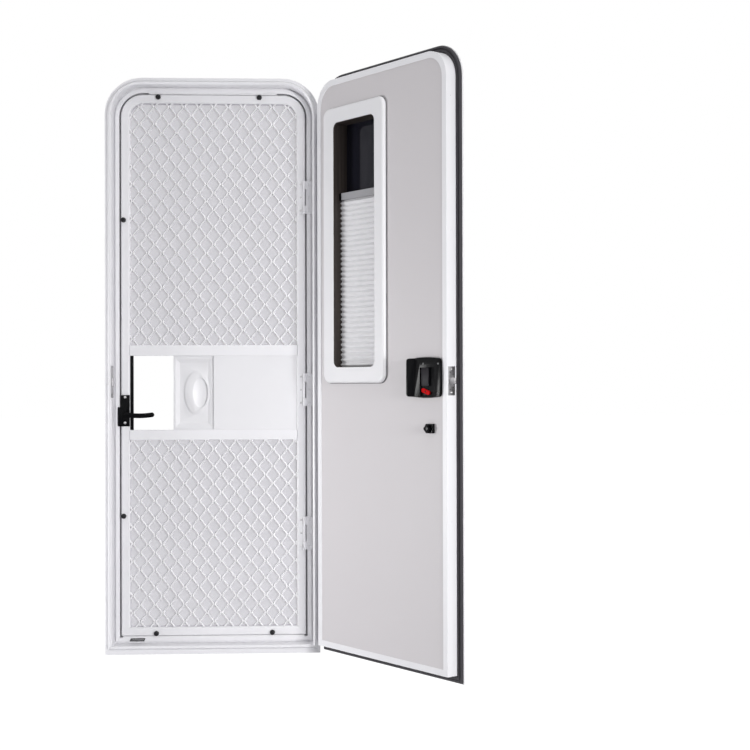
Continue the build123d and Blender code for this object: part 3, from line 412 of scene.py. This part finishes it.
class Outline:
    """Rectangle on an X-Z plane with rounded corners; only the upper ones are rounded over a square foot."""

    def __init__(self, x, low, high, half_w, radius, square_foot=False):
        self.centre = Vector((x, 0, (low + high) / 2))
        self.half = Vector((half_w, 0, (high - low) / 2))
        self.radius = radius
        self.square_foot = square_foot

    def square_at(self, point):
        return self.square_foot and point.z < self.centre.z

    def loop(self, shape, grow, y):
        """Closed loop of edges, larger by grow."""
        place = Matrix.Translation((self.centre.x, y, self.centre.z)) @ Matrix.Rotation(pi / 2, 4, "X")
        place = place @ Matrix.Diagonal((self.half.x + grow, self.half.z + grow, 1, 1))
        verts = bmesh.ops.create_grid(shape, x_segments=1, y_segments=1, size=1.0, matrix=place)["verts"]
        rounded = [vert for vert in verts if not self.square_at(vert.co)]
        bmesh.ops.bevel(shape, geom=rounded, offset=self.radius + grow, offset_type="OFFSET",
                        segments=CORNER_STEPS, profile=0.5, affect="VERTICES", material=-1)
        bmesh.ops.delete(shape, geom=shape.faces[:], context="FACES_ONLY")
        return shape.edges[:]

    def outward(self, point):
        """Way that a point of the outline goes when the outline grows."""
        away = point - self.centre
        side = Vector((copysign(1, away.x), 0, copysign(1, away.z)))
        if self.square_at(point):
            return side
        arc_x = side.x * (self.half.x - self.radius)
        arc_z = side.z * (self.half.z - self.radius)
        return Vector((away.x - arc_x, 0, away.z - arc_z)).normalized()

    def ring(self, stations):
        """Closed band, drawn out from each station (grow, y) to the next and back to the first."""
        shape = bmesh.new()
        edges = self.loop(shape, *stations[0])
        for (grow, y), (next_grow, next_y) in zip(stations, stations[1:] + stations[:1]):
            drawn = bmesh.ops.extrude_edge_only(shape, edges=edges)["geom"]
            for vert in [part for part in drawn if isinstance(part, bmesh.types.BMVert)]:
                vert.co += self.outward(vert.co) * (next_grow - grow) + Vector((0, next_y - y, 0))
            edges = [part for part in drawn if isinstance(part, bmesh.types.BMEdge) and part.is_boundary]
        bmesh.ops.remove_doubles(shape, verts=shape.verts, dist=MERGE)
        bmesh.ops.recalc_face_normals(shape, faces=shape.faces)
        return shape


# Diamond grille


def wave(z, crossing):
    """Rounded zigzag from 1 at a crossing to -1 half a cell above it."""
    turn = cos(2 * pi * (z - crossing) / CELL_H)
    return asin(WAVE_SHARPNESS * turn) / asin(WAVE_SHARPNESS)


def grille(node, low, high, crossing, cuts):
    """Upright waved strips that touch at the crossings, trimmed by planes."""
    shape = bmesh.new()
    swing = CELL_W / 4 - STRIP_T / 2
    strips = int(2 * STILE_INNER_X / (CELL_W / 2)) + 3
    length = high - low
    steps = round(length / CELL_H * STEPS_PER_CELL)
    for index in range(-strips // 2, strips // 2 + 1):
        middle = CROSSING_X + (index + 0.5) * CELL_W / 2
        side = 1 if index % 2 == 0 else -1
        strip = bmesh.ops.create_grid(shape, x_segments=1, y_segments=steps, size=0.5)["verts"]
        for vert in strip:
            z = low + (vert.co.y + 0.5) * length
            y = GRILLE_Y + (vert.co.x + 0.5) * GRILLE_DEPTH
            vert.co = (middle - side * swing * wave(z, crossing), y, z)
    for point, outward in cuts:
        geometry = shape.verts[:] + shape.edges[:] + shape.faces[:]
        bmesh.ops.bisect_plane(shape, geom=geometry, plane_co=point, plane_no=outward, clear_outer=True)
    piece = shown(shape, node + "_strips", FINISH["white_grille"], "screen_door")
    wall = piece.modifiers.new("strip_thickness", "SOLIDIFY")
    wall.thickness = STRIP_T
    wall.offset = 0.0
    wall.use_even_offset = True
    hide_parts(node)


side_cuts = [((sign * (STILE_INNER_X + STRIP_SEAT), 0, 0), (sign, 0, 0)) for sign in (-1, 1)]
corner_cuts = []
for sign in (-1, 1):
    for degrees in CORNER_CUT_DEGREES:
        outward = Vector((sign * cos(radians(degrees)), 0, sin(radians(degrees))))
        reach = outward * (INNER_CORNER_R + STRIP_SEAT)
        corner_cuts.append((Vector((sign * CORNER_X, 0, CORNER_Z)) + reach, outward))
grille("upper_grille", MID_RAIL_TOP_Z - STRIP_SEAT, RAIL_TOP_Z + STRIP_SEAT, UPPER_CROSSING_Z,
       side_cuts + corner_cuts)
grille("lower_grille", RAIL_LOW_Z - STRIP_SEAT, MID_RAIL_LOW_Z + STRIP_SEAT, LOWER_CROSSING_Z, side_cuts)


# Pale fins in the gaps above and below the screen

HEAD_FIN_HALF_L = 0.200
SILL_FIN_HALF_L = GAP_X - 0.010
FIN_REACH = 0.0044
FIN_BEHIND_LAND = 0.0006
FIN_T = 0.003
FIN_ROUND = 0.0010
FIN_STEPS = 8
ROUND_STEPS = 3


def gap_fin(name, root_z, tip_z, half_l):
    """Lipped strip along X, rooted on the frame's edge and reaching towards the screen's rail."""
    shape = bmesh.new()
    place = Matrix.Translation((0, LAND_Y + FIN_BEHIND_LAND, (root_z + tip_z) / 2))
    place = place @ Matrix.Rotation(pi / 2, 4, "X") @ Matrix.Diagonal((half_l, (tip_z - root_z) / 2, 1, 1))
    bmesh.ops.create_grid(shape, x_segments=FIN_STEPS, y_segments=1, size=1.0, matrix=place)
    walls = bmesh.ops.extrude_face_region(shape, geom=shape.faces[:])["geom"]
    back = [part for part in walls if isinstance(part, bmesh.types.BMVert)]
    bmesh.ops.translate(shape, vec=(0, FIN_T, 0), verts=back)
    bmesh.ops.recalc_face_normals(shape, faces=shape.faces)
    sharp = [edge for edge in shape.edges if edge.is_manifold and edge.calc_face_angle() > SHARP]
    tip = [edge for edge in sharp if all(abs(vert.co.z - tip_z) < MERGE for vert in edge.verts)]
    bmesh.ops.bevel(shape, geom=tip, offset=FIN_ROUND, offset_type="OFFSET", segments=ROUND_STEPS,
                    profile=0.5, affect="EDGES", material=-1)
    shown(shape, name, FINISH["white_plastic"], "frame")


gap_fin("head_gap_fin", GAP_TOP, GAP_TOP - FIN_REACH, HEAD_FIN_HALF_L)
gap_fin("sill_gap_fin", GAP_LOW, GAP_LOW + FIN_REACH, SILL_FIN_HALF_L)


# Drain in the sill

DRAIN_LOW, DRAIN_HIGH = (Vector(corner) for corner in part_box("sill_drain"))
DRAIN_BAR_T = 0.0012
DRAIN_BAR_SHARE = 0.86
DRAIN_BAR_ROUND = 0.0004


def drain_bar():
    """Pale rounded bar along the middle of the drain slot."""
    middle = (DRAIN_LOW + DRAIN_HIGH) / 2
    shape = bmesh.new()
    size = Matrix.Diagonal((DRAIN_BAR_SHARE * (DRAIN_HIGH.x - DRAIN_LOW.x), 2 * DRAIN_BAR_T, DRAIN_BAR_T, 1))
    place = Matrix.Translation((middle.x, DRAIN_LOW.y, middle.z))
    bmesh.ops.create_cube(shape, size=1.0, matrix=place @ size)
    bmesh.ops.bevel(shape, geom=shape.edges[:], offset=DRAIN_BAR_ROUND, offset_type="OFFSET",
                    segments=ROUND_STEPS, profile=0.5, affect="EDGES", material=-1)
    shown(shape, "drain_bar", FINISH["white_frame"], "frame")


drain_bar()


# Screws and buffers

SCREW_STEPS = 14
PAD_STEPS = 24


def turned(profile, steps):
    """Round shape about Z from a profile of (radius, height), which starts and ends on the axis."""
    shape = bmesh.new()
    verts = [shape.verts.new((radius, 0, height)) for radius, height in profile]
    edges = [shape.edges.new(pair) for pair in zip(verts, verts[1:])]
    bmesh.ops.spin(shape, geom=verts + edges, axis=(0, 0, 1), cent=(0, 0, 0), angle=2 * pi, steps=steps,
                   use_merge=True)
    bmesh.ops.remove_doubles(shape, verts=shape.verts, dist=MERGE)
    bmesh.ops.recalc_face_normals(shape, faces=shape.faces)
    return shape


def copies(make, name, places, material, body):
    """One piece with a copy of a shape at each place, given as (point, direction)."""
    gathered = bmesh.new()
    for point, direction in places:
        one = make()
        facing = Vector(direction).to_track_quat("Z", "Y").to_matrix().to_4x4()
        one.transform(Matrix.Translation(point) @ facing)
        mesh = bpy.data.meshes.new("part")
        one.to_mesh(mesh)
        one.free()
        gathered.from_mesh(mesh)
        bpy.data.meshes.remove(mesh)
    return shown(gathered, name, material, body)


def pan_screw(radius):
    """Pan-head screw with a round drive recess."""
    height = 0.55 * radius
    return turned(((0, -0.001), (radius, -0.001), (radius, 0.35 * height), (0.82 * radius, 0.8 * height),
                   (0.45 * radius, height), (0.38 * radius, 0.45 * height), (0, 0.4 * height)), SCREW_STEPS)


def eyelet(radius):
    """Flat collar round a shallow dimple, which in black stands for a hole; its darkness is painted shade."""
    return turned(((0, -0.0006), (radius, -0.0006), (radius, 0.0002), (0.8 * radius, 0.0005),
                   (0.6 * radius, 0.0004), (0.5 * radius, -0.0003), (0, -0.0004)), SCREW_STEPS)


def buffer_pad():
    """Domed rubber buffer with a dimple."""
    return turned(((0, 0), (0.0080, 0), (0.0080, 0.0045), (0.0073, 0.0066), (0.0054, 0.0078), (0.0032, 0.008),
                   (0.0024, 0.0066), (0, 0.0062)), PAD_STEPS)


FRONT = Vector((0, -1, 0))
buffers = [(-0.171, 1.729), (0.145, 1.729), (-0.280, 0.416), (-0.280, 1.343), (-0.179, 0.049), (0.183, 0.049)]
pads = copies(buffer_pad, "buffer_pads", [((x, LAND_Y, z), FRONT) for x, z in buffers],
              BUFFER_RUBBER, "screen_door")
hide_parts("rubber_buffers")

LEAF_Z = (1.415, 0.810, 0.360)
LEAF_FRONT_Y = 0.027
HINGE_SCREW_R = 0.0032
HINGE_SCREW_STEPS = (-0.041, 0, 0.041)
LEAF_SCREW_X = 0.2740
LAND_SCREW_X = 0.302
CASE_FRONT_Y = 0.026
CASE_SCREW_R = 0.0044
CASE_SCREW_X = -0.2755
CASE_SCREW_Z = (0.708, 0.788)


def hinge_screws(name, x, material, body):
    """Three screws in each of the three screen hinges."""
    places = [((x, LEAF_FRONT_Y, z + step), FRONT) for z in LEAF_Z for step in HINGE_SCREW_STEPS]
    copies(lambda: pan_screw(HINGE_SCREW_R), name, places, material, body)


hinge_screws("leaf_screws", LEAF_SCREW_X, SCREW_STEEL, "screen_door")
hinge_screws("land_screws", LAND_SCREW_X, FINISH["white_frame"], "frame")
copies(lambda: pan_screw(CASE_SCREW_R), "latch_case_screws",
       [((CASE_SCREW_X, CASE_FRONT_Y, z), FRONT) for z in CASE_SCREW_Z],
       SCREW_STEEL, "screen_door")


def on_door(points, direction):
    """Places on the open main door, from points given with the door shut."""
    turn = OPEN.to_3x3()
    return [(OPEN @ Vector(point), turn @ Vector(direction)) for point in points]


INWARD = (0, 1, 0)
FREE_SIDE = (-1, 0, 0)
HINGE_SIDE = (1, 0, 0)
PLATE_Y = PAN_INNER_Y + 0.008
HANDLE_SCREW_R = 0.0031
HANDLE_SCREWS = ((-0.212, 0.884), (-0.2755, 0.8835), (-0.2735, 0.803))
copies(lambda: pan_screw(HANDLE_SCREW_R), "handle_screws",
       on_door([(x, PLATE_Y, z) for x, z in HANDLE_SCREWS], INWARD), DULL_STEEL, "main_door")

BOLT_Z = 0.836
LATCH_Y = -0.0045
LATCH_SCREW_R = 0.003
FACEPLATE_SCREW_Z = (0.804, 0.868)
copies(lambda: pan_screw(LATCH_SCREW_R), "faceplate_screws",
       on_door([(-PAN_X, LATCH_Y, z) for z in FACEPLATE_SCREW_Z], FREE_SIDE),
       SCREW_STEEL, "main_door")

# Black collars on the latch faceplate: painted shade standing in for the dark of its holes.
EYELET_R = 0.0022
EYELETS = ((-0.010, 0.018), (0.001, 0.024), (-0.010, -0.018), (0.001, -0.024))
copies(lambda: eyelet(EYELET_R), "faceplate_eyelets",
       on_door([(-PAN_X, y, BOLT_Z + rise) for y, rise in EYELETS], FREE_SIDE),
       BUFFER_RUBBER, "main_door")

RIVET_R = 0.0025
RIVET_Y = -0.004
RIVET_Z = (0.060, 0.45, 1.25, 1.62)
copies(lambda: pan_screw(RIVET_R), "pan_rivets", on_door([(-PAN_X, RIVET_Y, z) for z in RIVET_Z], FREE_SIDE),
       FINISH["white_frame"], "main_door")

STRIKE_X = -0.309
STRIKE_SCREW_Z = (0.794, 0.878)
copies(lambda: pan_screw(LATCH_SCREW_R), "strike_screws",
       [((STRIKE_X, LATCH_Y, z), HINGE_SIDE) for z in STRIKE_SCREW_Z], SCREW_STEEL, "frame")


# Main door: ribbed seal, dark window lining and a dark grey line round the trim, painted as the trim's shadow
# on the panel

SEAL_BACK_Y = -0.027
SEAL_GROOVE_Y = -0.0232
SEAL_CREST_Y = -0.0205
SEAL_RIM_Y = -0.0235
SEAL_ROOT_Y = -0.0225
SEAL_STATIONS = (
    (0, SEAL_BACK_Y), (0.0200, SEAL_BACK_Y), (0.0200, SEAL_RIM_Y), (0.0178, SEAL_CREST_Y),
    (0.0134, SEAL_CREST_Y), (0.0123, SEAL_GROOVE_Y), (0.0100, SEAL_GROOVE_Y), (0.0089, SEAL_CREST_Y),
    (0.0036, SEAL_CREST_Y), (0.0023, SEAL_ROOT_Y), (0, SEAL_ROOT_Y))
seal = Outline(0, PAN_LOW, PAN_TOP, PAN_X, PAN_CORNER_R, square_foot=True).ring(SEAL_STATIONS)
seal.transform(OPEN)
seal_piece = shown(seal, "ribbed_door_seal", FINISH["black_rubber"], "main_door")
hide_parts("door_seal")


def window_band(name, back_y, front_y, grows, outline, material):
    """Thin band of square section round the window, on the main door."""
    shape = outline.ring(((grows[0], back_y), (grows[1], back_y), (grows[1], front_y), (grows[0], front_y)))
    shape.transform(OPEN)
    shown(shape, name, material, "main_door")


GLASS_BACK_Y = SKIN_Y + 0.005
CORE_FRONT_Y = PAN_INNER_Y - 0.0016
TRIM_LINING_Y = PAN_INNER_Y + TRIM_T - 0.0015
SHADOW_LINE_BACK_Y = PAN_INNER_Y - 0.0004
SHADOW_LINE_FRONT_Y = PAN_INNER_Y + 0.0010
LINING_GROWS = (0, -0.001)
SHADOW_LINE_GROWS = (-0.001, 0.0018)
cut_out = Outline(WINDOW_X, WINDOW_LOW, WINDOW_TOP, WINDOW_W / 2, CUT_OUT_R)
window_band("window_lining", GLASS_BACK_Y, CORE_FRONT_Y, LINING_GROWS, cut_out, LINING)
trim_inside = Outline(WINDOW_X, WINDOW_LOW, WINDOW_TOP, WINDOW_W / 2, WINDOW_R)
window_band("trim_lining", CORE_FRONT_Y, TRIM_LINING_Y, LINING_GROWS, trim_inside, LINING)
trim_outside = Outline(TRIM_X, WINDOW_LOW - TRIM_W, WINDOW_TOP + TRIM_W, WINDOW_W / 2 + TRIM_W, TRIM_R)
# Thin dark ring just outside the trim: painted shadow along the trim's foot.
window_band("trim_shadow_line", SHADOW_LINE_BACK_Y, SHADOW_LINE_FRONT_Y, SHADOW_LINE_GROWS, trim_outside, TRIM_SHADOW_LINE)


# CAD nodes: rounded edges where they show, and finishes for the rest

EXTRUSIONS = (
    "frame_left_jamb", "frame_right_jamb", "frame_head", "frame_sill", "screen_left_stile",
    "screen_right_stile", "screen_head_rail", "screen_bottom_rail", "screen_lower_mid_rail",
    "screen_upper_mid_rail", "blind_rail", "blind_rail_caps")
MOULDINGS = (
    "screen_latch_case", "screen_latch_lever", "inner_handle_housing", "inner_handle_paddle", "lock_tab",
    "deadbolt_base", "deadbolt_turn", "outer_handle_plate", "outer_handle_pull", "hatch_slider")
PLATES = (
    "latch_faceplate", "latch_bolt", "latch_strike", "hatch_edge_channel", "screen_hinge_frame_leaves",
    "screen_hinge_door_leaves")
for node in EXTRUSIONS:
    piece = softened(node, EXTRUSION_EDGE)
    piece.modifiers.new("even_normals", "WEIGHTED_NORMAL").keep_sharp = True
for node in MOULDINGS:
    softened(node, MOULDING_EDGE)
for node in PLATES:
    softened(node, PLATE_EDGE)
for node, thing in frame["nodes"].items():
    for slot in thing.material_slots:
        slot.material = FINISH[NODE_SLOT[node]]


# Stage, light and camera


def stage_material(name):
    """Pale floor that the camera sees almost white, with a part of the shadow kept."""
    material = bpy.data.materials.new(name)
    tree = Tree(material)
    tree.nodes.clear()
    share = tree.node("LightPath", output="Is Camera Ray") * (1 - FLOOR_SHADOW_SHARE)
    matt = tree.node("BsdfDiffuse", {}, {"Color": FLOOR_COLOUR})
    glow = tree.node("Emission", {}, {"Strength": FLOOR_GLOW})
    tree.ends("OutputMaterial", tree.node("MixShader", {}, {"Fac": share, 1: matt, 2: glow}))
    return material


ground = bmesh.new()
bmesh.ops.create_grid(ground, x_segments=1, y_segments=1, size=FLOOR_SIDE / 2,
                      matrix=Matrix.Translation((0, 0, CAD_BOX[0][2] - FLOOR_BELOW)))
floor_mesh = bpy.data.meshes.new("floor")
ground.to_mesh(floor_mesh)
ground.free()
floor_mesh.materials.append(stage_material("pale_floor"))
floor = bpy.data.objects.new("floor", floor_mesh)
bpy.context.scene.collection.objects.link(floor)

world = bpy.data.worlds.new("studio")
bpy.context.scene.world = world
studio = Tree(world)
studio.nodes.clear()
rays = [studio.node("LightPath", output=f"Is {kind} Ray") for kind in ("Camera", "Glossy", "Transmission")]
seen = rays[0].math("MAXIMUM", rays[1]).math("MAXIMUM", rays[2])
dim = studio.node("Background", {}, {"Color": AMBIENT_COLOUR, "Strength": AMBIENT})
white = studio.node("Background", {}, {"Color": BACKDROP_COLOUR, "Strength": BACKDROP})
studio.ends("OutputWorld", studio.node("MixShader", {}, {"Fac": seen, 1: dim, 2: white}))

for name, (right, up, distance, side, watts, aim) in SOFTBOXES.items():
    light = bpy.data.lights.new(name, "AREA")
    light.energy = watts
    light.size = side
    light.spread = BEAM_SPREAD
    round_by, lift = radians(right), radians(up)
    towards = Vector((sin(round_by) * cos(lift), -cos(round_by) * cos(lift), sin(lift)))
    lamp = bpy.data.objects.new(name, light)
    lamp.location = aim + towards * distance
    lamp.rotation_euler = towards.to_track_quat("Z", "Y").to_euler()
    lamp.visible_camera = False
    bpy.context.scene.collection.objects.link(lamp)

lens = bpy.data.cameras.new("camera")
lens.sensor_width = SENSOR_MM
lens.lens = SENSOR_MM * FOCAL_PIXELS / PHOTO_SIDE
lens.clip_end = CLIP_END
camera = bpy.data.objects.new("camera", lens)
turn = Matrix.Rotation(CAMERA_YAW, 4, "Z") @ Matrix.Rotation(CAMERA_PITCH, 4, "X")
turn = turn @ Matrix.Rotation(CAMERA_ROLL, 4, "Y")
camera.matrix_world = Matrix.Translation(CAMERA_PLACE) @ turn @ Matrix.Rotation(pi / 2, 4, "X")
bpy.context.scene.collection.objects.link(camera)
bpy.context.scene.camera = camera
bpy.context.scene.view_settings.view_transform = "Standard"
